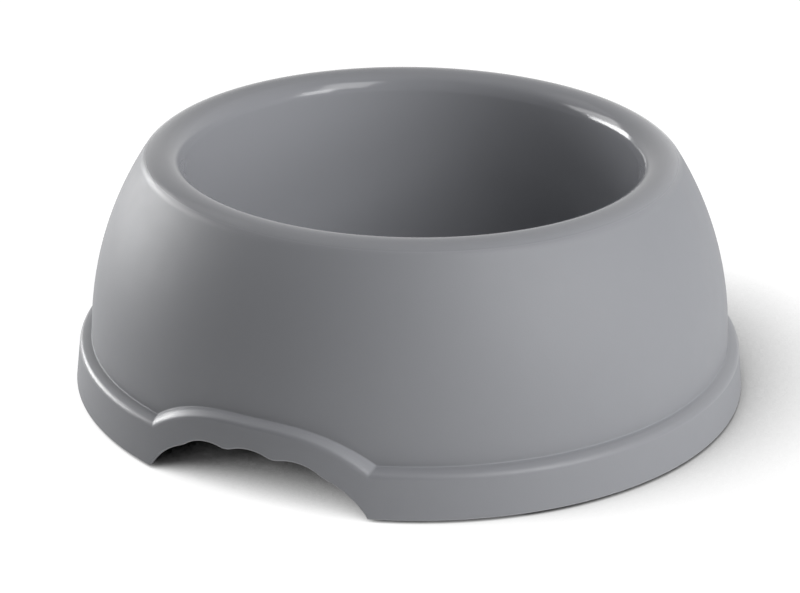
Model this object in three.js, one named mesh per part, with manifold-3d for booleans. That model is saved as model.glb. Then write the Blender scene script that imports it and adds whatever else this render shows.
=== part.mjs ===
// Pet food bowl: a one-piece moulded body with a hollow skirt, two finger grips and four push-in rubber feet.
// Millimetres, +Z up. The origin is on the floor under the middle of the bowl. The grips face -Y and +Y.
import * as THREE from 'three';
import { mergeVertices } from 'three/addons/utils/BufferGeometryUtils.js';
import Module from 'manifold-3d';

// Body, with heights measured from the lower edge of its skirt
const BASE_RADIUS = 120; // outside of the plinth at its lower edge
const BODY_HEIGHT = 85; // lower edge to the crest of the rim
const OPENING_RADIUS = 81.7; // lip, where the rim has turned down into the bowl
const WALL = 2.5; // moulded wall, the same thickness all over

// Rim, a rolled bead between the outer wall and the bowl
const RIM_OUTER_RADIUS = 9.1; // round from the crest down to the outer wall
const RIM_INNER_RADIUS = 4.8; // round from the crest down to the land
const RIM_TURN = 71; // degrees that the inner round turns down from the crest
const RIM_LAND = 3.8; // straight land between the inner round and the lip

// Inside of the bowl
const FLOOR_HEIGHT = 8; // upper face of the floor
const FLOOR_FILLET = 8; // round between the floor and the inner wall
const BOWL_DRAFT = 3; // degrees that the inner wall opens upwards

// Plinth, the step round the foot of the outer wall
const PLINTH_HEIGHT = 16.7; // lower edge to the crease between the ledge and the outer wall
const PLINTH_DRAFT = 6.3; // degrees that the plinth's face leans inwards
const LEDGE_WIDTH = 4.1; // from the plinth's face to the foot of the outer wall
const LEDGE_FALL = 1.5; // how far the ledge slopes down from the crease to the plinth's face
const LEDGE_ROUND = 2.1; // round on the outer edge of the ledge

// Finger grip: an arch cut through the plinth, with the ledge led over it as a raised band
const GRIP_HALF_WIDTH = 41; // middle of the arch to where it meets the lower edge
const FINGER_PITCH = 17.3; // middle of one finger scallop to the middle of the next
const SCALLOP_RADIUS = 17; // round of a finger scallop
const RIDGE_WIDTH = 2.7; // flat of the ridge on either side of the middle scallop
const RIDGE_CROWN_HEIGHT = 16.4; // crown of the arc that the ridges between the scallops lie on
const RIDGE_CROWN_RADIUS = 89; // round of that arc
const END_RADIUS = 31; // round of the arch's two ends, outside the scallops
const BAND_RISE = 11; // height of the raised band above the straight ledge, at the middle
const BAND_FULLNESS = 2.8; // exponent of the band's outline: 2 is a parabola, more is squarer

// Feet, pushed into bosses inside the plinth
const FOOT_COUNT = 4;
const FOOT_RADIUS = 6;
const FOOT_PROUD = 1; // how far the feet hold the lower edge off the floor
const FOOT_RECESS = 2; // how far the boss ends above the lower edge
const FOOT_EDGE_ROUND = 0.7; // round on the sole of a foot
const STEM_RADIUS = 2.5;
const STEM_LENGTH = 8;
const STEM_RING = 0.4; // how far the gripping rings stand out of the stem
const STEM_RING_COUNT = 2;
const BOSS_RADIUS = 5.6;
const FOOT_CLEARANCE = 0.2; // between a foot and its boss, and between a foot and the plinth's wall

// Steps in the curved stretches, with fewer on the hidden side of the wall
const SEEN_STEPS = { fillet: 4, rim: 4, wall: 6 };
const HIDDEN_STEPS = { fillet: 3, rim: 2, wall: 4 };
const ROUND_STEPS = 3;
const SCALLOP_STEPS = 6;
const MIDDLE_STEPS = 4; // across half of the middle scallop
const RIDGE_STEPS = 1;
const END_STEPS = 6;
const SIDE_STEPS = 18;
const FOOT_STEPS = 16;
const SOLVE_PASSES = 3; // rounds in which a point's radius and height are brought into agreement

const rad = THREE.MathUtils.degToRad;
const wasm = await Module();
wasm.setup();

// Turning a three.js geometry into a solid that can be joined and cut, and back
function solidOf(geometry) {
  const bare = geometry.clone();
  bare.deleteAttribute('normal');
  bare.deleteAttribute('uv');
  const merged = mergeVertices(bare, 1e-4);
  const vertProperties = new Float32Array(merged.attributes.position.array);
  const triVerts = new Uint32Array(merged.index.array);
  return new wasm.Manifold(new wasm.Mesh({ numProp: 3, vertProperties, triVerts }));
}

function geometryOf(solid) {
  const mesh = solid.getMesh();
  const geometry = new THREE.BufferGeometry();
  geometry.setAttribute('position', new THREE.BufferAttribute(mesh.vertProperties, 3));
  geometry.setIndex(new THREE.BufferAttribute(mesh.triVerts, 1));
  geometry.computeVertexNormals();
  return geometry;
}

// Points on an arc in the (radius, height) plane, with angles in radians from outwards towards up
function arc(centre, radius, from, to, steps) {
  const points = [];
  for (let step = 0; step <= steps; step += 1) {
    const angle = from + ((to - from) * step) / steps;
    points.push([centre[0] + radius * Math.cos(angle), centre[1] + radius * Math.sin(angle)]);
  }
  return points;
}

// Plinth's face, and the wall that stands on its ledge: one arc, upright at its foot and tangent to the rim
const faceRadius = (z) => BASE_RADIUS - z * Math.tan(rad(PLINTH_DRAFT));
const WALL_FOOT_RADIUS = faceRadius(PLINTH_HEIGHT) - LEDGE_WIDTH;
const CREST_RADIUS =
  OPENING_RADIUS + RIM_LAND * Math.cos(rad(RIM_TURN)) + RIM_INNER_RADIUS * Math.sin(rad(RIM_TURN));
const LIP_HEIGHT =
  BODY_HEIGHT - RIM_INNER_RADIUS * (1 - Math.cos(rad(RIM_TURN))) - RIM_LAND * Math.sin(rad(RIM_TURN));
const WALL_LEAN_IN = WALL_FOOT_RADIUS - CREST_RADIUS;
const WALL_RISE = BODY_HEIGHT - RIM_OUTER_RADIUS - PLINTH_HEIGHT;
const WALL_RADIUS =
  (WALL_LEAN_IN ** 2 + WALL_RISE ** 2 - RIM_OUTER_RADIUS ** 2) / (2 * (WALL_LEAN_IN - RIM_OUTER_RADIUS));
const WALL_CENTRE = [WALL_FOOT_RADIUS - WALL_RADIUS, PLINTH_HEIGHT];
const SHOULDER_ANGLE = Math.atan2(WALL_RISE, WALL_RADIUS - WALL_LEAN_IN);

// Ledge's slope, and depths below the crease: middle of its round, and its underside behind the face
const LEDGE_SLOPE = Math.atan2(LEDGE_FALL, LEDGE_WIDTH);
const ROUND_DEPTH = LEDGE_FALL + LEDGE_ROUND * (1 / Math.cos(LEDGE_SLOPE) - Math.tan(LEDGE_SLOPE));
const FACE_WALL = WALL / Math.cos(rad(PLINTH_DRAFT));
const UNDER_DEPTH = WALL + LEDGE_FALL - FACE_WALL * Math.tan(LEDGE_SLOPE);

// Finger grip's outline, over x, the distance across the grip from its middle
const crownHeight = (x) =>
  RIDGE_CROWN_HEIGHT - RIDGE_CROWN_RADIUS + Math.sqrt(RIDGE_CROWN_RADIUS ** 2 - x ** 2);
const ridge = (x) => [x, crownHeight(x)];

// Height over x of the arc that bulges upwards through two points
function bulge(start, end, radius) {
  const across = [end[0] - start[0], end[1] - start[1]];
  const chord = Math.hypot(...across);
  const fall = Math.sqrt(radius ** 2 - chord ** 2 / 4);
  const centreX = (start[0] + end[0]) / 2 + (across[1] / chord) * fall;
  const centreZ = (start[1] + end[1]) / 2 - (across[0] / chord) * fall;
  return (x) => centreZ + Math.sqrt(Math.max(radius ** 2 - (x - centreX) ** 2, 0));
}

const RIDGE_START = (FINGER_PITCH - RIDGE_WIDTH) / 2;
const RIDGE_END = (FINGER_PITCH + RIDGE_WIDTH) / 2;
const OUTER_RIDGE = 1.5 * FINGER_PITCH;
const middleScallop = bulge(ridge(-RIDGE_START), ridge(RIDGE_START), SCALLOP_RADIUS);
const sideScallop = bulge(ridge(RIDGE_END), ridge(OUTER_RIDGE), SCALLOP_RADIUS);
const archEnd = bulge(ridge(OUTER_RIDGE), [GRIP_HALF_WIDTH, 0], END_RADIUS);

// Height of the arch's edge: three scallops in the middle, a round end on each side, nothing beyond
function cutHeight(x) {
  const across = Math.abs(x);
  if (across >= GRIP_HALF_WIDTH) return 0;
  if (across >= OUTER_RIDGE) return archEnd(across);
  if (across >= RIDGE_END) return sideScallop(across);
  if (across >= RIDGE_START) return crownHeight(across);
  return middleScallop(across);
}

// Height of the crease, or of a line drawn at a depth below it, with the band led over the grip
function ledgeHeight(x, depth) {
  const share = Math.min(Math.abs(x) / GRIP_HALF_WIDTH, 1);
  const rise = BAND_RISE * (1 - share ** BAND_FULLNESS);
  const slope = (BAND_RISE * BAND_FULLNESS * share ** (BAND_FULLNESS - 1)) / GRIP_HALF_WIDTH;
  const band = PLINTH_HEIGHT + rise - depth * Math.hypot(1, slope);
  return Math.max(PLINTH_HEIGHT - depth, band);
}

// Bowl and rim, from the middle of the floor out to the shoulder, at a depth inside the visible skin
function bowlSkin(depth, steps) {
  const draft = rad(BOWL_DRAFT);
  const turn = rad(RIM_TURN);
  const filletHeight = FLOOR_HEIGHT + FLOOR_FILLET;
  const wallThere = OPENING_RADIUS - (LIP_HEIGHT - filletHeight) * Math.tan(draft);
  const filletCentre = [wallThere - FLOOR_FILLET / Math.cos(draft), filletHeight];
  const intoWall = [Math.cos(draft), -Math.sin(draft)];
  const intoLand = [Math.sin(turn), -Math.cos(turn)];
  const spread = depth / (1 + intoWall[0] * intoLand[0] + intoWall[1] * intoLand[1]);
  const lip = [
    OPENING_RADIUS + spread * (intoWall[0] + intoLand[0]),
    LIP_HEIGHT + spread * (intoWall[1] + intoLand[1]),
  ];
  const innerCentre = [CREST_RADIUS, BODY_HEIGHT - RIM_INNER_RADIUS];
  const outerCentre = [CREST_RADIUS, BODY_HEIGHT - RIM_OUTER_RADIUS];
  const quarter = Math.PI / 2;
  return [
    [0, FLOOR_HEIGHT - depth],
    ...arc(filletCentre, FLOOR_FILLET + depth, -quarter, -draft, steps.fillet),
    lip,
    ...arc(innerCentre, RIM_INNER_RADIUS - depth, quarter + turn, quarter, steps.rim),
    ...arc(outerCentre, RIM_OUTER_RADIUS - depth, quarter, SHOULDER_ANGLE, steps.rim).slice(1),
  ];
}

// Outer wall below the shoulder, down to a foot at the given height
function wallSkin(footHeight, depth, steps) {
  const radius = WALL_RADIUS - depth;
  const footAngle = Math.asin((footHeight - PLINTH_HEIGHT) / radius);
  return arc(WALL_CENTRE, radius, SHOULDER_ANGLE, footAngle, steps.wall).slice(1);
}

// A point of the plinth, where its height depends on x and its radius on that height
function plinthPoint(sine, inset, heightAt) {
  let radius = faceRadius(PLINTH_HEIGHT) - inset;
  for (let pass = 0; pass < SOLVE_PASSES; pass += 1) {
    radius = faceRadius(heightAt(radius * sine)) - inset;
  }
  return [radius, heightAt(radius * sine)];
}

// Whole closed section of the body at an azimuth, as sine of the angle from the middle of the nearer grip
function section(sine) {
  const footHeight = ledgeHeight(WALL_FOOT_RADIUS * sine, 0);
  const rounded = arc([0, 0], LEDGE_ROUND, Math.PI / 2 - LEDGE_SLOPE, 0, ROUND_STEPS).map(([out, up]) =>
    plinthPoint(sine, LEDGE_ROUND - out, (x) => ledgeHeight(x, ROUND_DEPTH - up)),
  );
  const innerFoot = ledgeHeight((WALL_FOOT_RADIUS - WALL) * sine, WALL);
  const visible = [
    ...bowlSkin(0, SEEN_STEPS),
    ...wallSkin(footHeight, 0, SEEN_STEPS),
    ...rounded,
    plinthPoint(sine, 0, cutHeight),
  ];
  const hidden = [
    ...bowlSkin(WALL, HIDDEN_STEPS),
    ...wallSkin(innerFoot, WALL, HIDDEN_STEPS),
    plinthPoint(sine, FACE_WALL, (x) => ledgeHeight(x, UNDER_DEPTH)),
    plinthPoint(sine, FACE_WALL, cutHeight),
  ];
  return [...visible, ...hidden.reverse()];
}

// Angles from the middle of a grip at which sections are taken across half of it
function gripAngles() {
  const stops = [
    [0, RIDGE_START, MIDDLE_STEPS],
    [RIDGE_START, RIDGE_END, RIDGE_STEPS],
    [RIDGE_END, OUTER_RIDGE, SCALLOP_STEPS],
    [OUTER_RIDGE, GRIP_HALF_WIDTH, END_STEPS],
  ];
  const across = stops.flatMap(([from, to, steps]) =>
    Array.from({ length: steps }, (_, step) => from + ((to - from) * step) / steps),
  );
  const feet = [BASE_RADIUS, BASE_RADIUS - WALL, WALL_FOOT_RADIUS].map((radius) => GRIP_HALF_WIDTH / radius);
  const onFace = across.map((x) => x / faceRadius(cutHeight(x)));
  return [...onFace, ...feet].map((sine) => Math.asin(sine));
}

// Every section's angle from the -Y grip, once round: a grip, a plain side, the other grip, a plain side
function sectionAngles() {
  const half = gripAngles();
  const edge = half[half.length - 1];
  const grip = [...half.slice(1).reverse().map((angle) => -angle), ...half];
  const side = [];
  for (let step = 1; step < SIDE_STEPS; step += 1) {
    side.push(edge + ((Math.PI - 2 * edge) * step) / SIDE_STEPS);
  }
  const front = [...grip, ...side];
  return [...front, ...front.map((angle) => angle + Math.PI)];
}

// Body skin: sections set round the axis and joined, with a single point on the axis at each end
function bodySkin() {
  const angles = sectionAngles();
  const positions = [];
  const index = [];
  const sections = angles.map((angle) => section(Math.sin(angle)));
  const rows = sections[0].length;
  const last = rows - 1;
  const ring = rows - 2;
  const vertex = (column, row) => 2 + (column % angles.length) * ring + (row - 1);
  positions.push(0, 0, sections[0][0][1], 0, 0, sections[0][last][1]);
  angles.forEach((angle, column) => {
    for (const [radius, height] of sections[column].slice(1, last)) {
      positions.push(radius * Math.sin(angle), -radius * Math.cos(angle), height);
    }
  });
  for (let column = 0; column < angles.length; column += 1) {
    index.push(0, vertex(column, 1), vertex(column + 1, 1));
    for (let row = 1; row < last - 1; row += 1) {
      const here = vertex(column, row);
      const beside = vertex(column + 1, row);
      const below = vertex(column, row + 1);
      const across = vertex(column + 1, row + 1);
      index.push(here, below, beside, beside, below, across);
    }
    index.push(vertex(column, last - 1), 1, vertex(column + 1, last - 1));
  }
  const geometry = new THREE.BufferGeometry();
  geometry.setAttribute('position', new THREE.Float32BufferAttribute(positions, 3));
  geometry.setIndex(index);
  return geometry;
}

// Bosses for the feet: a round post with straight sides that run into the plinth's wall
const BOSS_TOP = PLINTH_HEIGHT - (LEDGE_FALL + WALL) / 2;
const WALL_INSIDE_AT_SEAT = faceRadius(FOOT_RECESS) - FACE_WALL;
const WALL_INSIDE_AT_EDGE = faceRadius(0) - FACE_WALL;
const FOOT_CIRCLE = Math.min(WALL_INSIDE_AT_SEAT, WALL_INSIDE_AT_EDGE) - FOOT_CLEARANCE - FOOT_RADIUS;
const footAngles = Array.from({ length: FOOT_COUNT }, (_, foot) => ((foot + 0.5) * 2 * Math.PI) / FOOT_COUNT);

function bossGeometry() {
  const intoWall = (WALL_INSIDE_AT_SEAT + faceRadius(BOSS_TOP)) / 2 - FOOT_CIRCLE;
  const outline = new THREE.Shape();
  outline.moveTo(intoWall, -BOSS_RADIUS);
  outline.lineTo(intoWall, BOSS_RADIUS);
  outline.lineTo(0, BOSS_RADIUS);
  outline.absarc(0, 0, BOSS_RADIUS, Math.PI / 2, 1.5 * Math.PI, false);
  outline.closePath();
  const settings = { depth: BOSS_TOP - FOOT_RECESS, bevelEnabled: false, curveSegments: FOOT_STEPS / 2 };
  return new THREE.ExtrudeGeometry(outline, settings).translate(0, 0, FOOT_RECESS);
}

function boreGeometry() {
  const depth = STEM_LENGTH + FOOT_CLEARANCE;
  const overlap = FOOT_RECESS;
  const radius = STEM_RADIUS + STEM_RING + FOOT_CLEARANCE;
  const bore = new THREE.CylinderGeometry(radius, radius, depth + overlap, FOOT_STEPS);
  return bore.rotateX(Math.PI / 2).translate(0, 0, FOOT_RECESS - overlap + (depth + overlap) / 2);
}

// Foot: a sole with a rounded edge, and a stem with gripping rings and a pointed end
function footGeometry() {
  const headTop = FOOT_PROUD + FOOT_RECESS - FOOT_CLEARANCE;
  const stemTop = FOOT_PROUD + FOOT_RECESS + STEM_LENGTH - FOOT_CLEARANCE;
  const ringStep = (stemTop - headTop) / (STEM_RING_COUNT + 1);
  const corner = [FOOT_RADIUS - FOOT_EDGE_ROUND, FOOT_EDGE_ROUND];
  const profile = [
    [0, 0],
    ...arc(corner, FOOT_EDGE_ROUND, -Math.PI / 2, 0, ROUND_STEPS),
    [FOOT_RADIUS, headTop],
    [STEM_RADIUS, headTop],
  ];
  for (let ring = 1; ring <= STEM_RING_COUNT; ring += 1) {
    const height = headTop + ring * ringStep;
    profile.push([STEM_RADIUS, height - ringStep / 4]);
    profile.push([STEM_RADIUS + STEM_RING, height - ringStep / 4]);
    profile.push([STEM_RADIUS, height + ringStep / 4]);
  }
  profile.push([STEM_RADIUS / 2, stemTop]);
  profile.push([0, stemTop]);
  const outline = profile.map(([radius, height]) => new THREE.Vector2(radius, height));
  return new THREE.LatheGeometry(outline, FOOT_STEPS).rotateX(Math.PI / 2);
}

function bodyGeometry() {
  let body = solidOf(bodySkin());
  for (const angle of footAngles) {
    const boss = bossGeometry().translate(FOOT_CIRCLE, 0, 0).rotateZ(angle);
    const bore = boreGeometry().translate(FOOT_CIRCLE, 0, 0).rotateZ(angle);
    body = body.add(solidOf(boss)).subtract(solidOf(bore));
  }
  return geometryOf(body);
}

const plastic = new THREE.MeshStandardMaterial({ color: 0x838488, roughness: 0.45, metalness: 0 });
const rubber = new THREE.MeshStandardMaterial({ color: 0x2b2b2d, roughness: 0.85, metalness: 0 });

const petBowl = new THREE.Group();
const bowlBody = new THREE.Mesh(bodyGeometry(), plastic);
bowlBody.name = 'bowl_body';
bowlBody.position.z = FOOT_PROUD;
petBowl.add(bowlBody);

const footNames = ['foot_rear_right', 'foot_rear_left', 'foot_front_left', 'foot_front_right'];
footAngles.forEach((angle, foot) => {
  const rubberFoot = new THREE.Mesh(footGeometry(), rubber.clone());
  rubberFoot.name = footNames[foot];
  rubberFoot.position.set(FOOT_CIRCLE * Math.cos(angle), FOOT_CIRCLE * Math.sin(angle), 0);
  petBowl.add(rubberFoot);
});

export default petBowl;
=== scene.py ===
"""Pet food bowl: fine surfaces, materials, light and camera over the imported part."""
import math

import bpy
import numpy as np
from mathutils import Matrix, Vector


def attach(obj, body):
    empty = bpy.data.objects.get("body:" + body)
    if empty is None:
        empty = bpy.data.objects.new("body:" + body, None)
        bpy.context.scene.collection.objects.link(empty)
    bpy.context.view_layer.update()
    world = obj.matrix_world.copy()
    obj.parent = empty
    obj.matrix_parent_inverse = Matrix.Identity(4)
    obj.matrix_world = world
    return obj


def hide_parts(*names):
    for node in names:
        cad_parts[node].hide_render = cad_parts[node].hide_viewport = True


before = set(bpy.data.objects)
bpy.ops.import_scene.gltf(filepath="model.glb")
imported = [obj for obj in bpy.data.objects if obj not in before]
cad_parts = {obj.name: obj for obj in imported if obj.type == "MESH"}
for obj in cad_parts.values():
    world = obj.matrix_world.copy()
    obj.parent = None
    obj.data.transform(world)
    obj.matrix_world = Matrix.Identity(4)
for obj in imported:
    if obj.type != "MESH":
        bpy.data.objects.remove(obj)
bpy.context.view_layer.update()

MM = 0.001
QUARTER = math.pi / 2

# Body in millimetres, with heights measured from the lower edge of its skirt
BASE_RADIUS = 120.0
BODY_HEIGHT = 85.0
OPENING_RADIUS = 80.2
WALL = 2.5
RIM_OUTER_RADIUS = 9.1
RIM_INNER_RADIUS = 7.3
FLOOR_HEIGHT = 8.0
FLOOR_FILLET = 8.0
BOWL_DRAFT = math.radians(1.6)
PLINTH_HEIGHT = 16.7
PLINTH_DRAFT = math.radians(6.3)
LEDGE_WIDTH = 4.1
LEDGE_FALL = 1.5
LEDGE_ROUND = 2.1

# Finger grip
GRIP_HALF_WIDTH = 41.0
FINGER_PITCH = 17.3
SCALLOP_RADIUS = 17.0
RIDGE_WIDTH = 2.7
RIDGE_CROWN_HEIGHT = 16.4
RIDGE_CROWN_RADIUS = 89.0
RIDGE_BLEND = 0.5
END_RADIUS = 31.0
BAND_RISE = 11.0
BAND_FULLNESS = 2.8

# Feet and their bosses
FOOT_RADIUS = 6.0
FOOT_PROUD = 1.0
FOOT_RECESS = 2.0
FOOT_EDGE_ROUND = 0.7
STEM_RADIUS = 2.5
STEM_LENGTH = 8.0
STEM_RING = 0.4
STEM_RING_COUNT = 2
BOSS_RADIUS = 5.6
FOOT_CLEARANCE = 0.2

# Small rounds that only show close up
CREASE_ROUND = 0.3
CUT_ROUND = 0.6
INSIDE_ROUND = 0.3
RING_LIP = 0.05

# Where the wall and the ledge begin beside the crease, and how far the ledge swells from a flat slope
WALL_START = 2 * CREASE_ROUND
LEDGE_START = 1.6 * CREASE_ROUND
LEDGE_SWELL = math.radians(6.0)

# Finishes of the body's plastic, in the order of their materials; the last is a painted highlight along the
# lower edge
POLISHED, BRIM, SATIN, SMOOTH, EDGE = range(5)

# Tones that the materials run between
GREY = ((0.183, 0.187, 0.200), (0.193, 0.197, 0.210))
# The inside's paler tone is painted light that brightens the bowl's inside below the rim
INSIDE_GREY_AND_PAINTED_LIGHT = ((0.185, 0.189, 0.202), (0.246, 0.251, 0.268))
# The edge's paler grey is a painted highlight along the skirt's lower edge and the arch's cut
EDGE_HIGHLIGHT_GREY = ((0.233, 0.237, 0.250), (0.253, 0.257, 0.270))
RUBBER_BLACK = ((0.020, 0.020, 0.022), (0.030, 0.030, 0.032))

# Noise that makes a surface uneven: its scale and detail, and the range that most of it lies in
TONE_NOISE = (18, 3)
GLOSS_NOISE = (120, 4)
RUBBER_NOISE = (300, 4)
GRAIN_DETAIL = 3
NOISE_LOW = 0.3
NOISE_HIGH = 0.7

# Surfaces: index of refraction, roughness, and the scale, strength and depth of the rubber's grain
PLASTIC_IOR = 1.49
RUBBER_ROUGHNESS = 0.8
RUBBER_GRAIN = (1800, 0.5, 6e-5)
FLOOR_ROUGHNESS = 0.9

# Heights over which the rim's polish runs out, and over which the bowl's inside is painted paler downwards
# as painted light
BRIM_HEIGHTS = (80.9, 83.8)
PAINTED_LIGHT_HEIGHTS = (78.5, 84.0)

# Columns round the bowl, and the margin beside a grip in which the spacing changes
GRIP_COLUMNS = 70
GRIP_MARGIN = 3.0
MARGIN_COLUMNS = 6
SIDE_COLUMNS = 90

# The wall's two skins: how deep each lies, its steps, and the shares of a flat at which it has rows
VISIBLE, HIDDEN = range(2)
SKIN_DEPTHS = (0.0, WALL)
FILLET_STEPS = (14, 6)
INNER_RIM_STEPS = (28, 6)
OUTER_RIM_STEPS = (22, 6)
WALL_STEPS = (32, 16)
FLOOR_SHARES = ((0.05, 0.2, 0.4, 0.6, 0.8, 0.93, 0.985), (0.1, 0.5, 0.9))
BOWL_SHARES = ((0.015, 0.08, 0.25, 0.5, 0.75, 0.92, 0.985), (0.1, 0.5, 0.9))
FACE_SHARES = ((0.04, 0.2, 0.4, 0.6, 0.8, 0.96), (0.1, 0.5, 0.9, 1.0))

# Steps of single rounds, slopes and searches, and the shares of a foot's sole at which it has rings
LEDGE_STEPS = 8
LEDGE_ROUND_STEPS = 12
CREASE_STEPS = 4
CUT_STEPS = 4
INSIDE_STEPS = 3
BOSS_STEPS = 16
FOOT_STEPS = 48
FOOT_EDGE_STEPS = 8
FOOT_TOP_STEPS = 4
HALVINGS = 40
SOLE_SHARES = (0.3, 0.7, 0.95)

# Camera, measured from the middle of the bowl, in metres and degrees
CAMERA_REACH = 0.8684
CAMERA_HEIGHT = 0.3994
CAMERA_TURN = 26.1
CAMERA_PITCH = 23.13
CAMERA_YAW = -0.24
CAMERA_ROLL = -0.70
CAMERA_LENS = 118.16
SENSOR_WIDTH = 36.0

# Floor: half its width, its grey for light and as it is seen, and how white it looks by itself
FLOOR_HALF = 4.0
FLOOR_LIT = 0.85
FLOOR_SEEN = 0.15
FLOOR_PAPER = 0.95

# Painted shadow of the bowl on the floor's white, on the side away from a light
SHADE_REACH = 0.1
SHADE_AZIMUTH = -70.0
SHADE_ELEVATION = 45.0
SHADE_DARK = 0.32
SHADE_CLEAR = 0.79
SHADE_SAMPLES = 16

# White backdrop behind and above the bowl, as reflections see it: its middle, its start and where it is full
BACKDROP_AZIMUTH = 180.0
BACKDROP_ELEVATION = 45.0
BACKDROP_START = 0.1
BACKDROP_FULL = 0.75

# Lamps in degrees, metres and watts: azimuth, elevation, width, height, power, and whether polish mirrors it
LAMP_DISTANCE = 1.3
LAMP_AIM = Vector((0, 0, 0.04))
LAMPS = {
    "softbox_right": (38, 36, 0.55, 0.8, 5.7, True),
    "softbox_side": (60, 34, 0.5, 0.5, 6, False),
    "panel_side": (82, 35, 0.5, 0.4, 1.8, False),
    "strip_right": (52, 16, 0.4, 0.4, 3.4, True),
    "strip_side": (74, 11, 0.8, 0.35, 5.4, False),
    "panel_front": (34, 70, 0.7, 0.45, 3.7, False),
    "strip_left": (-121, 8, 0.8, 0.35, 12.5, True),
    "softbox_left": (-112, 24, 0.9, 0.35, 4, True),
    "panel_left": (-117, 45, 0.8, 0.45, 0.5, True),
}


# Body's section


def face_radius(height):
    return BASE_RADIUS - height * math.tan(PLINTH_DRAFT)


WALL_FOOT_RADIUS = face_radius(PLINTH_HEIGHT) - LEDGE_WIDTH
CREST_RADIUS = OPENING_RADIUS + RIM_INNER_RADIUS * math.cos(BOWL_DRAFT)
LIP_HEIGHT = BODY_HEIGHT - RIM_INNER_RADIUS * (1 - math.sin(BOWL_DRAFT))
WALL_LEAN_IN = WALL_FOOT_RADIUS - CREST_RADIUS
WALL_RISE = BODY_HEIGHT - RIM_OUTER_RADIUS - PLINTH_HEIGHT
WALL_SPAN = WALL_LEAN_IN ** 2 + WALL_RISE ** 2 - RIM_OUTER_RADIUS ** 2
WALL_RADIUS = WALL_SPAN / (2 * (WALL_LEAN_IN - RIM_OUTER_RADIUS))
WALL_CENTRE = WALL_FOOT_RADIUS - WALL_RADIUS
SHOULDER_ANGLE = math.atan2(WALL_RISE, WALL_RADIUS - WALL_LEAN_IN)

# Ledge's slope, and depths below its crease: middle of its round, and its underside behind the face
LEDGE_SLOPE = LEDGE_FALL / LEDGE_WIDTH
ROUND_DEPTH = LEDGE_FALL + LEDGE_ROUND * (math.hypot(1, LEDGE_SLOPE) - LEDGE_SLOPE)
FACE_WALL = WALL / math.cos(PLINTH_DRAFT)
UNDER_DEPTH = WALL + LEDGE_FALL - FACE_WALL * LEDGE_SLOPE


def arc(centre, radius, start, end, steps):
    """Points on an arc in the (radius, height) plane, angles from outwards towards up."""
    angles = np.linspace(start, end, steps + 1)
    x, z = centre
    return [(x + radius * math.cos(angle), z + radius * math.sin(angle)) for angle in angles]


def between(start, end, shares):
    """Points on the straight line between two points, at the given shares of it."""
    across = end[0] - start[0]
    up = end[1] - start[1]
    return [(start[0] + across * share, start[1] + up * share) for share in shares]


# Finger grip's outline over x, the distance across the grip from its middle


def crown_height(x):
    return RIDGE_CROWN_HEIGHT - RIDGE_CROWN_RADIUS + np.sqrt(RIDGE_CROWN_RADIUS ** 2 - x ** 2)


def ridge(x):
    return x, crown_height(x)


def bulge(start, end, radius):
    """Height over x of the arc that bulges upwards through two points."""
    across = (end[0] - start[0], end[1] - start[1])
    chord = math.hypot(*across)
    fall = math.sqrt(radius ** 2 - chord ** 2 / 4)
    centre_x = (start[0] + end[0]) / 2 + across[1] / chord * fall
    centre_z = (start[1] + end[1]) / 2 - across[0] / chord * fall
    return lambda x: centre_z + np.sqrt(np.maximum(radius ** 2 - (x - centre_x) ** 2, 0))


RIDGE_START = (FINGER_PITCH - RIDGE_WIDTH) / 2
RIDGE_END = (FINGER_PITCH + RIDGE_WIDTH) / 2
OUTER_RIDGE = 1.5 * FINGER_PITCH
middle_scallop = bulge(ridge(-RIDGE_START), ridge(RIDGE_START), SCALLOP_RADIUS)
side_scallop = bulge(ridge(RIDGE_END), ridge(OUTER_RIDGE), SCALLOP_RADIUS)
arch_end = bulge(ridge(OUTER_RIDGE), (GRIP_HALF_WIDTH, 0.0), END_RADIUS)


def merge(one, other):
    """Two stretches of the arch's edge meeting in a softened corner."""
    near = np.maximum(RIDGE_BLEND - np.abs(one - other), 0) / RIDGE_BLEND
    return np.maximum(one, other) + near ** 2 * RIDGE_BLEND / 4


def cut_height(x):
    """Height of the arch's edge: scallops in the middle, a round end on each side, nothing beyond."""
    across = np.abs(x)
    inner = merge(merge(middle_scallop(across), crown_height(across)), side_scallop(across))
    outer = merge(side_scallop(across), arch_end(across))
    height = np.where(across < FINGER_PITCH, inner, outer)
    return np.where(across < GRIP_HALF_WIDTH, np.maximum(height, 0), 0.0)


def raised_cut(x, rise):
    """A line that runs a little inside the arch's edge, measured square to it."""
    step = 0.05
    steepest = 2
    inside = np.abs(x) < GRIP_HALF_WIDTH
    slope = np.where(inside, (cut_height(x + step) - cut_height(x - step)) / (2 * step), 0.0)
    return cut_height(x) + rise * np.hypot(1, np.clip(slope, -steepest, steepest))


def ledge_height(x, depth):
    """Height of the crease, or of a line at a depth below it, with the band led over the grip."""
    share = np.minimum(np.abs(x) / GRIP_HALF_WIDTH, 1)
    rise = BAND_RISE * (1 - share ** BAND_FULLNESS)
    slope = BAND_RISE * BAND_FULLNESS * share ** (BAND_FULLNESS - 1) / GRIP_HALF_WIDTH
    return np.maximum(PLINTH_HEIGHT - depth, PLINTH_HEIGHT + rise - depth * np.hypot(1, slope))


def band_end(depth):
    """Distance across the grip at which the band, drawn at a depth, runs out into the straight ledge."""
    low = GRIP_HALF_WIDTH / 2
    high = GRIP_HALF_WIDTH
    for _ in range(HALVINGS):
        middle = (low + high) / 2
        if ledge_height(middle, depth) > PLINTH_HEIGHT - depth:
            low = middle
        else:
            high = middle
    return high


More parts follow.
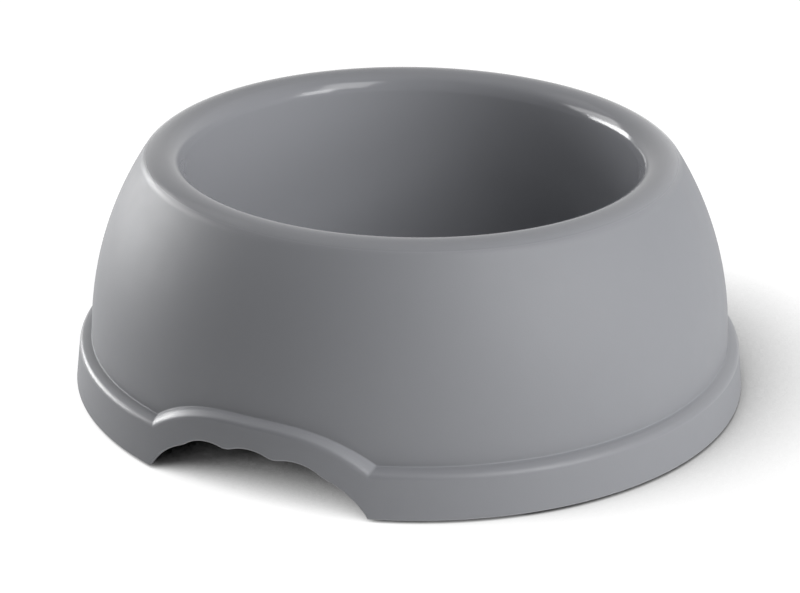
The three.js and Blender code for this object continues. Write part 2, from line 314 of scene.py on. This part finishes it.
# Columns of the body's skin, which keep their distance from a grip's middle there, and elsewhere their angle
GRIP_REACH = GRIP_HALF_WIDTH + GRIP_MARGIN
BEYOND_GRIP = np.array([2 * GRIP_HALF_WIDTH])
half_columns = np.concatenate([
    np.linspace(0, GRIP_HALF_WIDTH, GRIP_COLUMNS + 1),
    np.linspace(GRIP_HALF_WIDTH, GRIP_REACH, MARGIN_COLUMNS + 1)[1:],
])
grip_columns = np.concatenate([-half_columns[:0:-1], half_columns])
side_edge = math.asin(GRIP_REACH / WALL_FOOT_RADIUS)
side_angles = np.linspace(side_edge, math.pi - side_edge, SIDE_COLUMNS + 1)[1:-1]
foot_columns = np.arcsin(grip_columns / WALL_FOOT_RADIUS)


def drawn_in(end):
    """Distances of a grip's columns from its middle, with the arch's last column at the given distance."""
    size = np.abs(grip_columns)
    inside = size * end / GRIP_HALF_WIDTH
    outside = end + (size - GRIP_HALF_WIDTH) * (GRIP_REACH - end) / GRIP_MARGIN
    return np.sign(grip_columns) * np.where(size <= GRIP_HALF_WIDTH, inside, outside)


def full_row(grip_angles, grip_radius, grip_height, side_radius, side_height):
    """Corner points of one row, once round the bowl: a grip, a side, the other grip, the other side."""
    side = np.ones_like(side_angles)
    angles = np.concatenate([grip_angles, side_angles])
    angles = np.concatenate([angles, angles + math.pi])
    radius = np.tile(np.concatenate([grip_radius, side * side_radius]), 2)
    height = np.tile(np.concatenate([grip_height, side * side_height]), 2)
    return np.stack([radius * np.sin(angles), -radius * np.cos(angles), height], axis=1)


def round_row(point):
    """A row that is a plain circle."""
    ones = np.ones_like(grip_columns)
    return full_row(foot_columns, ones * point[0], ones * point[1], point[0], point[1])


def plinth_row(inset, height_at, end):
    """A row of the plinth at an inset from its face, its height given over the distance across the grip."""
    x = drawn_in(end)
    height = height_at(x)
    radius = face_radius(height) - inset
    straight = float(height_at(BEYOND_GRIP)[0])
    return full_row(np.arcsin(x / radius), radius, height, face_radius(straight) - inset, straight)


def ledge_row(inset, depth):
    """A row of the plinth that follows the crease at a depth below it."""
    return plinth_row(inset, lambda x: ledge_height(x, depth), band_end(depth))


def wall_rows(foot_at, skin):
    """Rows of the outer wall from below the shoulder to its foot, on one of its skins."""
    radius = WALL_RADIUS - SKIN_DEPTHS[skin]
    straight = float(foot_at(BEYOND_GRIP)[0])
    foot_angle = np.arcsin((foot_at(grip_columns) - PLINTH_HEIGHT) / radius)
    side_angle = math.asin((straight - PLINTH_HEIGHT) / radius)
    rows = []
    for share in np.linspace(0, 1, WALL_STEPS[skin] + 1)[1:]:
        grip = SHOULDER_ANGLE + (foot_angle - SHOULDER_ANGLE) * share
        side = SHOULDER_ANGLE + (side_angle - SHOULDER_ANGLE) * share
        rows.append(full_row(
            foot_columns,
            WALL_CENTRE + radius * np.cos(grip),
            PLINTH_HEIGHT + radius * np.sin(grip),
            WALL_CENTRE + radius * math.cos(side),
            PLINTH_HEIGHT + radius * math.sin(side),
        ))
    return rows


def foot_row(out, up):
    """A row beside the crease at the wall's foot, so far out from the wall and up from the ledge."""
    height = ledge_height(grip_columns, 0.0)
    radius = WALL_CENTRE + np.sqrt(WALL_RADIUS ** 2 - (height + up - PLINTH_HEIGHT) ** 2) + out
    straight = WALL_CENTRE + math.sqrt(WALL_RADIUS ** 2 - up ** 2) + out
    return full_row(np.arcsin(grip_columns / radius), radius, height + up, straight, PLINTH_HEIGHT + up)


def bowl_points(skin):
    """Bowl from its floor's middle out and up to the crest of the rim, on one of the wall's skins."""
    depth = SKIN_DEPTHS[skin]
    fillet_height = FLOOR_HEIGHT + FLOOR_FILLET
    wall_there = OPENING_RADIUS - (LIP_HEIGHT - fillet_height) * math.tan(BOWL_DRAFT)
    fillet_centre = (wall_there - FLOOR_FILLET / math.cos(BOWL_DRAFT), fillet_height)
    fillet = arc(fillet_centre, FLOOR_FILLET + depth, -QUARTER, -BOWL_DRAFT, FILLET_STEPS[skin])
    rim_centre = (CREST_RADIUS, BODY_HEIGHT - RIM_INNER_RADIUS)
    rim_start = 2 * QUARTER - BOWL_DRAFT
    rim = arc(rim_centre, RIM_INNER_RADIUS - depth, rim_start, QUARTER, INNER_RIM_STEPS[skin])
    middle = (0.0, FLOOR_HEIGHT - depth)
    floor = between(middle, fillet[0], FLOOR_SHARES[skin])
    wall = between(fillet[-1], rim[0], BOWL_SHARES[skin])
    return [middle, *floor, *fillet, *wall, *rim]


def outer_rim(skin):
    """Outer half of the rim from beside the crest to the shoulder, on one of the wall's skins."""
    centre = (CREST_RADIUS, BODY_HEIGHT - RIM_OUTER_RADIUS)
    radius = RIM_OUTER_RADIUS - SKIN_DEPTHS[skin]
    return arc(centre, radius, QUARTER, SHOULDER_ANGLE, OUTER_RIM_STEPS[skin])[1:]


def ledge_rows():
    """Rows of the ledge: its slope, very slightly crowned, and the round that takes it into the face."""
    crease = foot_row(LEDGE_START, -LEDGE_START * LEDGE_SLOPE)
    rounded = []
    top = math.atan2(1, LEDGE_SLOPE) - LEDGE_SWELL
    for angle in np.linspace(top, 0, LEDGE_ROUND_STEPS + 1):
        inset = LEDGE_ROUND * (1 - math.cos(angle))
        rounded.append(ledge_row(inset, ROUND_DEPTH - LEDGE_ROUND * math.sin(angle)))
    crown = (LEDGE_WIDTH - LEDGE_START) * math.tan(LEDGE_SWELL) / 4
    slope = []
    for share in np.linspace(0, 1, LEDGE_STEPS + 1)[:-1]:
        row = crease + (rounded[0] - crease) * share
        row[:, 2] += crown * 4 * share * (1 - share)
        slope.append(row)
    return slope + rounded


def visible_rows():
    """Rows of the visible skin after the floor's middle, in groups that share a finish."""
    inside = [round_row(point) for point in bowl_points(VISIBLE)[1:]]
    brim = [round_row(point) for point in outer_rim(VISIBLE)]
    wall = wall_rows(lambda x: ledge_height(x, 0.0) + WALL_START, VISIBLE)
    for angle in np.linspace(0, QUARTER, CREASE_STEPS + 1):
        out = CREASE_ROUND * (1 - math.cos(angle))
        wall.append(foot_row(out, CREASE_ROUND * (1 - math.sin(angle)) - out * LEDGE_SLOPE))
    face = []
    top_end = band_end(ROUND_DEPTH)
    for share in FACE_SHARES[VISIBLE]:
        def face_height(x, share=share):
            top = ledge_height(x, ROUND_DEPTH)
            return top + (raised_cut(x, CUT_ROUND) - top) * share
        face.append(plinth_row(0.0, face_height, top_end + (GRIP_HALF_WIDTH - top_end) * share))
    edge = []
    for angle in np.linspace(0, QUARTER, CUT_STEPS + 1):
        rise = CUT_ROUND * (1 - math.sin(angle))
        inset = CUT_ROUND * (1 - math.cos(angle))
        edge.append(plinth_row(inset, lambda x, rise=rise: raised_cut(x, rise), GRIP_HALF_WIDTH))
    face.append(edge.pop(0))
    upper = [(POLISHED, inside), (BRIM, brim), (SATIN, wall)]
    # The lower edge's round takes the paler finish, a painted highlight
    lower = [(SMOOTH, ledge_rows()), (SATIN, face), (EDGE, edge)]
    return upper + lower


def hidden_rows():
    """Rows of the skin inside the skirt, from the lower edge up and back in under the floor."""
    under_end = band_end(UNDER_DEPTH)
    rows = []
    for angle in np.linspace(QUARTER, 0, INSIDE_STEPS + 1):
        rise = INSIDE_ROUND * (1 - math.sin(angle))
        inset = FACE_WALL - INSIDE_ROUND * (1 - math.cos(angle))
        rows.append(plinth_row(inset, lambda x, rise=rise: raised_cut(x, rise), GRIP_HALF_WIDTH))
    for share in FACE_SHARES[HIDDEN]:
        def face_height(x, share=share):
            low = raised_cut(x, INSIDE_ROUND)
            return low + (ledge_height(x, UNDER_DEPTH) - low) * share
        end = GRIP_HALF_WIDTH + (under_end - GRIP_HALF_WIDTH) * share
        rows.append(plinth_row(FACE_WALL, face_height, end))
    wall = wall_rows(lambda x: ledge_height(x, WALL), HIDDEN)
    rows += wall[::-1]
    inside = bowl_points(HIDDEN)[1:] + outer_rim(HIDDEN)
    rows += [round_row(point) for point in inside[::-1]]
    return rows


# Bosses and feet stand on one circle inside the plinth
WALL_INSIDE = face_radius(FOOT_RECESS) - FACE_WALL
FOOT_CIRCLE = WALL_INSIDE - FOOT_CLEARANCE - FOOT_RADIUS
FOOT_PLACES = {
    "foot_rear_right": math.radians(45),
    "foot_rear_left": math.radians(135),
    "foot_front_left": math.radians(225),
    "foot_front_right": math.radians(315),
}


def boss_rings():
    """Rings of one boss: a round post with straight sides into the plinth's wall, and a stem's bore."""
    top = PLINTH_HEIGHT - (LEDGE_FALL + WALL) / 2
    into_wall = (WALL_INSIDE + face_radius(top)) / 2 - FOOT_CIRCLE
    back = [(0.0, BOSS_RADIUS)]
    turned = np.linspace(QUARTER, 3 * QUARTER, BOSS_STEPS + 1)[1:-1]
    back += [(BOSS_RADIUS * math.cos(angle), BOSS_RADIUS * math.sin(angle)) for angle in turned]
    back.append((0.0, -BOSS_RADIUS))
    outline = [(into_wall, BOSS_RADIUS)] + back + [(into_wall, -BOSS_RADIUS)]
    bore_radius = STEM_RADIUS + STEM_RING + FOOT_CLEARANCE
    directions = [math.atan2(y, x) for x, y in outline]
    bore = [(bore_radius * math.cos(angle), bore_radius * math.sin(angle)) for angle in directions]
    bore_top = FOOT_RECESS + STEM_LENGTH + FOOT_CLEARANCE
    return [
        [(x, y, top) for x, y in outline],
        [(x, y, FOOT_RECESS) for x, y in outline],
        [(x, y, FOOT_RECESS) for x, y in bore],
        [(x, y, bore_top) for x, y in bore],
    ]


# Meshes


def new_object(name, vertices, faces, materials, face_materials, smooth=True):
    mesh = bpy.data.meshes.new(name)
    mesh.from_pydata(vertices, [], faces)
    for material in materials:
        mesh.materials.append(material)
    mesh.polygons.foreach_set("material_index", face_materials)
    mesh.polygons.foreach_set("use_smooth", [smooth] * len(faces))
    mesh.update()
    piece = bpy.data.objects.new(name, mesh)
    bpy.context.scene.collection.objects.link(piece)
    return piece


def loft_faces(first, rows, columns):
    """Quads between rows of a closed loft whose vertices start at the given index."""
    row, column = np.meshgrid(np.arange(rows - 1), np.arange(columns), indexing="ij")
    beside = (column + 1) % columns
    here = first + row * columns + column
    right = first + row * columns + beside
    return np.stack([here, here + columns, right + columns, right], axis=-1).reshape(-1, 4)


def bowl_shell(finishes):
    """The body: its skin lofted round the axis, and the bosses inside the plinth."""
    groups = visible_rows() + [(SATIN, hidden_rows())]
    rows = [row for _, group in groups for row in group]
    row_finish = [finish for finish, group in groups for _ in group]
    columns = len(rows[0])
    skin = np.concatenate(rows)
    top = (0.0, 0.0, FLOOR_HEIGHT)
    bottom = (0.0, 0.0, FLOOR_HEIGHT - WALL)
    vertices = [top, bottom] + skin.tolist()
    faces = loft_faces(2, len(rows), columns).tolist()
    marks = [finish for finish in row_finish[1:] for _ in range(columns)]
    last = 2 + (len(rows) - 1) * columns
    for column in range(columns):
        beside = (column + 1) % columns
        faces.append((0, 2 + column, 2 + beside))
        marks.append(POLISHED)
        faces.append((1, last + beside, last + column))
        marks.append(SATIN)
    rings = boss_rings()
    around = len(rings[0])
    for angle in FOOT_PLACES.values():
        first = len(vertices)
        for ring in rings:
            for x, y, z in ring:
                out = x + FOOT_CIRCLE
                turned_x = out * math.cos(angle) - y * math.sin(angle)
                turned_y = out * math.sin(angle) + y * math.cos(angle)
                vertices.append((turned_x, turned_y, z))
        boss = loft_faces(first, len(rings), around).tolist()
        boss.append(list(range(first, first + around)))
        end = first + (len(rings) - 1) * around
        boss.append(list(range(end, end + around))[::-1])
        faces += boss
        marks += [SATIN] * len(boss)
    metres = [(x * MM, y * MM, (z + FOOT_PROUD) * MM) for x, y, z in vertices]
    return new_object("bowl_shell", metres, faces, finishes, marks)


def foot_profile():
    """Half section of a rubber foot: a sole with a rounded edge and a stem with gripping rings."""
    head_top = FOOT_PROUD + FOOT_RECESS - FOOT_CLEARANCE
    stem_top = FOOT_PROUD + FOOT_RECESS + STEM_LENGTH - FOOT_CLEARANCE
    ring_step = (stem_top - head_top) / (STEM_RING_COUNT + 1)
    corner = (FOOT_RADIUS - FOOT_EDGE_ROUND, FOOT_EDGE_ROUND)
    sole = between((0.0, 0.0), (corner[0], 0.0), SOLE_SHARES)
    profile = sole + arc(corner, FOOT_EDGE_ROUND, -QUARTER, 0, FOOT_EDGE_STEPS)
    shoulder = (FOOT_RADIUS - INSIDE_ROUND, head_top - INSIDE_ROUND)
    profile += arc(shoulder, INSIDE_ROUND, 0, QUARTER, FOOT_TOP_STEPS)
    profile.append((STEM_RADIUS + INSIDE_ROUND, head_top))
    profile.append((STEM_RADIUS, head_top + INSIDE_ROUND))
    for ring in range(1, STEM_RING_COUNT + 1):
        height = head_top + ring * ring_step
        profile.append((STEM_RADIUS, height - ring_step / 4 - RING_LIP))
        profile.append((STEM_RADIUS + STEM_RING, height - ring_step / 4))
        profile.append((STEM_RADIUS, height + ring_step / 4))
    profile.append((STEM_RADIUS / 2, stem_top))
    return profile, stem_top


def rubber_foot(name, angle, rubber):
    profile, stem_top = foot_profile()
    centre_x = FOOT_CIRCLE * math.cos(angle)
    centre_y = FOOT_CIRCLE * math.sin(angle)
    vertices = [(centre_x, centre_y, 0.0), (centre_x, centre_y, stem_top)]
    for radius, height in profile:
        for turn in np.linspace(0, 2 * math.pi, FOOT_STEPS, endpoint=False):
            x = centre_x + radius * math.cos(turn)
            y = centre_y + radius * math.sin(turn)
            vertices.append((x, y, height))
    faces = loft_faces(2, len(profile), FOOT_STEPS)[:, ::-1].tolist()
    last = 2 + (len(profile) - 1) * FOOT_STEPS
    for column in range(FOOT_STEPS):
        beside = (column + 1) % FOOT_STEPS
        faces.append((0, 2 + beside, 2 + column))
        faces.append((1, last + column, last + beside))
    metres = [(x * MM, y * MM, z * MM) for x, y, z in vertices]
    return new_object(name, metres, faces, [rubber], [0] * len(faces))


# Materials


def new_material(name):
    material = bpy.data.materials.new(name)
    material.use_nodes = True
    return material, material.node_tree, material.node_tree.nodes["Principled BSDF"]


def noise(tree, scale, detail, coordinates):
    node = tree.nodes.new("ShaderNodeTexNoise")
    node.inputs["Scale"].default_value = scale
    node.inputs["Detail"].default_value = detail
    tree.links.new(coordinates, node.inputs["Vector"])
    return node.outputs["Fac"]


def spread(tree, value, low, high):
    """Takes a noise's middle range onto the range between two values."""
    node = tree.nodes.new("ShaderNodeMapRange")
    node.inputs["From Min"].default_value = NOISE_LOW
    node.inputs["From Max"].default_value = NOISE_HIGH
    node.inputs["To Min"].default_value = low
    node.inputs["To Max"].default_value = high
    tree.links.new(value, node.inputs["Value"])
    return node.outputs["Result"]


def tint(tree, value, dark, light, shader):
    """Runs the base colour between two tones."""
    node = tree.nodes.new("ShaderNodeMix")
    node.data_type = "RGBA"
    node.inputs["A"].default_value = (*dark, 1)
    node.inputs["B"].default_value = (*light, 1)
    tree.links.new(value, node.inputs["Factor"])
    tree.links.new(node.outputs["Result"], shader.inputs["Base Color"])


def math_node(tree, operation, first, second):
    """An operation on the outputs of two other nodes."""
    node = tree.nodes.new("ShaderNodeMath")
    node.operation = operation
    tree.links.new(first, node.inputs[0])
    tree.links.new(second, node.inputs[1])
    return node.outputs["Value"]


def bump(tree, height, strength, distance, shader):
    node = tree.nodes.new("ShaderNodeBump")
    node.inputs["Strength"].default_value = strength
    node.inputs["Distance"].default_value = distance
    tree.links.new(height, node.inputs["Height"])
    tree.links.new(node.outputs["Normal"], shader.inputs["Normal"])


def height_range(tree, coordinates, heights, values):
    """A value that runs from one to the other between two heights of the body."""
    place = tree.nodes.new("ShaderNodeSeparateXYZ")
    tree.links.new(coordinates, place.inputs["Vector"])
    node = tree.nodes.new("ShaderNodeMapRange")
    node.inputs["From Min"].default_value = (heights[0] + FOOT_PROUD) * MM
    node.inputs["From Max"].default_value = (heights[1] + FOOT_PROUD) * MM
    node.inputs["To Min"].default_value = values[0]
    node.inputs["To Max"].default_value = values[1]
    tree.links.new(place.outputs["Z"], node.inputs["Value"])
    return node.outputs["Result"]


def plastic(name, tones, roughness, grain, painted_light_heights=None, gloss_heights=None):
    """Moulded plastic with a grain, whose tone and gloss are a little uneven or change with height; a tone
    that turns paler lower down is painted light.
    """
    material, tree, shader = new_material(name)
    coordinates = tree.nodes.new("ShaderNodeTexCoord").outputs["Object"]
    if painted_light_heights:
        # Painted light: the tone is painted paler lower down, between the two heights and below them
        tone_and_painted_light = height_range(tree, coordinates, painted_light_heights, (1.0, 0.0))
    else:
        tone_and_painted_light = noise(tree, *TONE_NOISE, coordinates)
    if gloss_heights:
        gloss = height_range(tree, coordinates, gloss_heights, roughness)
    else:
        gloss = spread(tree, noise(tree, *GLOSS_NOISE, coordinates), *roughness)
    tint(tree, tone_and_painted_light, *tones, shader)
    tree.links.new(gloss, shader.inputs["Roughness"])
    shader.inputs["IOR"].default_value = PLASTIC_IOR
    grain_scale, grain_depth = grain
    bump(tree, noise(tree, grain_scale, GRAIN_DETAIL, coordinates), 1.0, grain_depth, shader)
    return material


def rubber_material():
    material, tree, shader = new_material("foot_rubber")
    coordinates = tree.nodes.new("ShaderNodeTexCoord").outputs["Object"]
    tint(tree, noise(tree, *RUBBER_NOISE, coordinates), *RUBBER_BLACK, shader)
    shader.inputs["Roughness"].default_value = RUBBER_ROUGHNESS
    grain_scale, strength, grain_depth = RUBBER_GRAIN
    bump(tree, noise(tree, grain_scale, GRAIN_DETAIL, coordinates), strength, grain_depth, shader)
    return material


finishes = [
    # The inside is painted paler towards its floor: painted light
    plastic("polished_plastic", INSIDE_GREY_AND_PAINTED_LIGHT, (0.14, 0.16), (900, 2e-6), painted_light_heights=PAINTED_LIGHT_HEIGHTS),
    plastic("brim_plastic", GREY, (0.55, 0.15), (2200, 4e-6), gloss_heights=BRIM_HEIGHTS),
    plastic("satin_plastic", GREY, (0.54, 0.57), (2200, 2e-5)),
    plastic("smooth_plastic", GREY, (0.36, 0.39), (2200, 1e-5)),
    # Painted highlight: a paler grey on the lower edge's round
    plastic("edge_highlight_plastic", EDGE_HIGHLIGHT_GREY, (0.45, 0.5), (2200, 1e-5)),
]
rubber = rubber_material()

shell = bowl_shell(finishes)
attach(shell, "root")
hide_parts("bowl_body")

for node, angle in FOOT_PLACES.items():
    foot = rubber_foot("rubber_" + node, angle, rubber)
    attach(foot, "root")
    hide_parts(node)


# Floor, light and camera


def photo_turn():
    """Turns directions seen from the camera, x to the right and y away from it, into the part's frame."""
    return Matrix.Rotation(math.radians(CAMERA_TURN), 3, "Z")


def direction(azimuth, elevation):
    """Direction from the bowl, with the azimuth from the camera's side, positive to its right."""
    turn = math.radians(azimuth)
    rise = math.radians(elevation)
    flat = math.cos(rise)
    return photo_turn() @ Vector((math.sin(turn) * flat, -math.cos(turn) * flat, math.sin(rise)))


def add_floor():
    signs = ((-1, -1), (1, -1), (1, 1), (-1, 1))
    corners = [(x * FLOOR_HALF, y * FLOOR_HALF, 0) for x, y in signs]
    material, tree, shader = new_material("floor_white")
    path = tree.nodes.new("ShaderNodeLightPath")
    seen = math_node(tree, "MAXIMUM", path.outputs["Is Camera Ray"], path.outputs["Is Glossy Ray"])
    tint(tree, seen, [FLOOR_LIT] * 3, [FLOOR_SEEN] * 3, shader)
    shader.inputs["Roughness"].default_value = FLOOR_ROUGHNESS
    shader.inputs["Specular IOR Level"].default_value = 0.0
    shader.inputs["Emission Color"].default_value = (1, 1, 1, 1)
    # Painted shadow: the floor's white glow dims where the bowl hides the sky towards one side
    towards = tree.nodes.new("ShaderNodeCombineXYZ")
    for socket, value in zip(towards.inputs, direction(SHADE_AZIMUTH, SHADE_ELEVATION)):
        socket.default_value = value
    open_sky = tree.nodes.new("ShaderNodeAmbientOcclusion")
    open_sky.samples = SHADE_SAMPLES
    open_sky.inputs["Distance"].default_value = SHADE_REACH
    tree.links.new(towards.outputs["Vector"], open_sky.inputs["Normal"])
    shade = tree.nodes.new("ShaderNodeMapRange")
    shade.inputs["From Min"].default_value = SHADE_DARK
    shade.inputs["From Max"].default_value = SHADE_CLEAR
    shade.inputs["To Max"].default_value = FLOOR_PAPER
    tree.links.new(open_sky.outputs["AO"], shade.inputs["Value"])
    white = math_node(tree, "MULTIPLY", shade.outputs["Result"], seen)
    tree.links.new(white, shader.inputs["Emission Strength"])
    floor = new_object("floor", corners, [(0, 1, 2, 3)], [material], [0], False)


def add_world():
    """A dark room with a backdrop, all white to the camera and white behind and above to reflections."""
    world = bpy.data.worlds.new("studio")
    world.use_nodes = True
    bpy.context.scene.world = world
    tree = world.node_tree
    path = tree.nodes.new("ShaderNodeLightPath")
    towards = tree.nodes.new("ShaderNodeVectorMath")
    towards.operation = "DOT_PRODUCT"
    tree.links.new(tree.nodes.new("ShaderNodeTexCoord").outputs["Generated"], towards.inputs[0])
    towards.inputs[1].default_value = direction(BACKDROP_AZIMUTH, BACKDROP_ELEVATION)
    backdrop = tree.nodes.new("ShaderNodeMapRange")
    backdrop.inputs["From Min"].default_value = BACKDROP_START
    backdrop.inputs["From Max"].default_value = BACKDROP_FULL
    tree.links.new(towards.outputs["Value"], backdrop.inputs["Value"])
    reflected = math_node(tree, "MULTIPLY", backdrop.outputs["Result"], path.outputs["Is Glossy Ray"])
    white = math_node(tree, "MAXIMUM", reflected, path.outputs["Is Camera Ray"])
    light = tree.nodes["Background"]
    light.inputs["Color"].default_value = (1, 1, 1, 1)
    tree.links.new(white, light.inputs["Strength"])


def add_softbox(name, azimuth, elevation, width, height, power, mirrored):
    """A softbox aimed at the bowl, which may be kept out of its reflections."""
    away = direction(azimuth, elevation)
    light = bpy.data.lights.new(name, "AREA")
    light.shape = "RECTANGLE"
    light.size = width
    light.size_y = height
    light.energy = power
    lamp = bpy.data.objects.new(name, light)
    lamp.location = away * LAMP_DISTANCE + LAMP_AIM
    lamp.rotation_euler = (-away).to_track_quat("-Z", "Y").to_euler()
    lamp.visible_glossy = mirrored
    bpy.context.scene.collection.objects.link(lamp)


def add_camera():
    pitch = math.radians(CAMERA_PITCH)
    yaw = math.radians(CAMERA_YAW)
    roll = math.radians(CAMERA_ROLL)
    level = math.cos(pitch)
    ahead = Vector((math.sin(yaw) * level, math.cos(yaw) * level, -math.sin(pitch)))
    right = ahead.cross(Vector((0, 0, 1))).normalized()
    down = ahead.cross(right)
    right_rolled = right * math.cos(roll) + down * math.sin(roll)
    down_rolled = down * math.cos(roll) - right * math.sin(roll)
    axes = Matrix((right_rolled, -down_rolled, -ahead)).transposed()
    camera = bpy.data.cameras.new("camera")
    camera.sensor_fit = "HORIZONTAL"
    camera.sensor_width = SENSOR_WIDTH
    camera.lens = CAMERA_LENS
    eye = bpy.data.objects.new("camera", camera)
    place = photo_turn() @ Vector((0, -CAMERA_REACH, CAMERA_HEIGHT))
    eye.matrix_world = Matrix.Translation(place) @ (photo_turn() @ axes).to_4x4()
    bpy.context.scene.collection.objects.link(eye)
    bpy.context.scene.camera = eye


add_floor()
add_world()
for lamp_name, settings in LAMPS.items():
    add_softbox(lamp_name, *settings)
add_camera()

bpy.context.scene.view_settings.view_transform = "Standard"
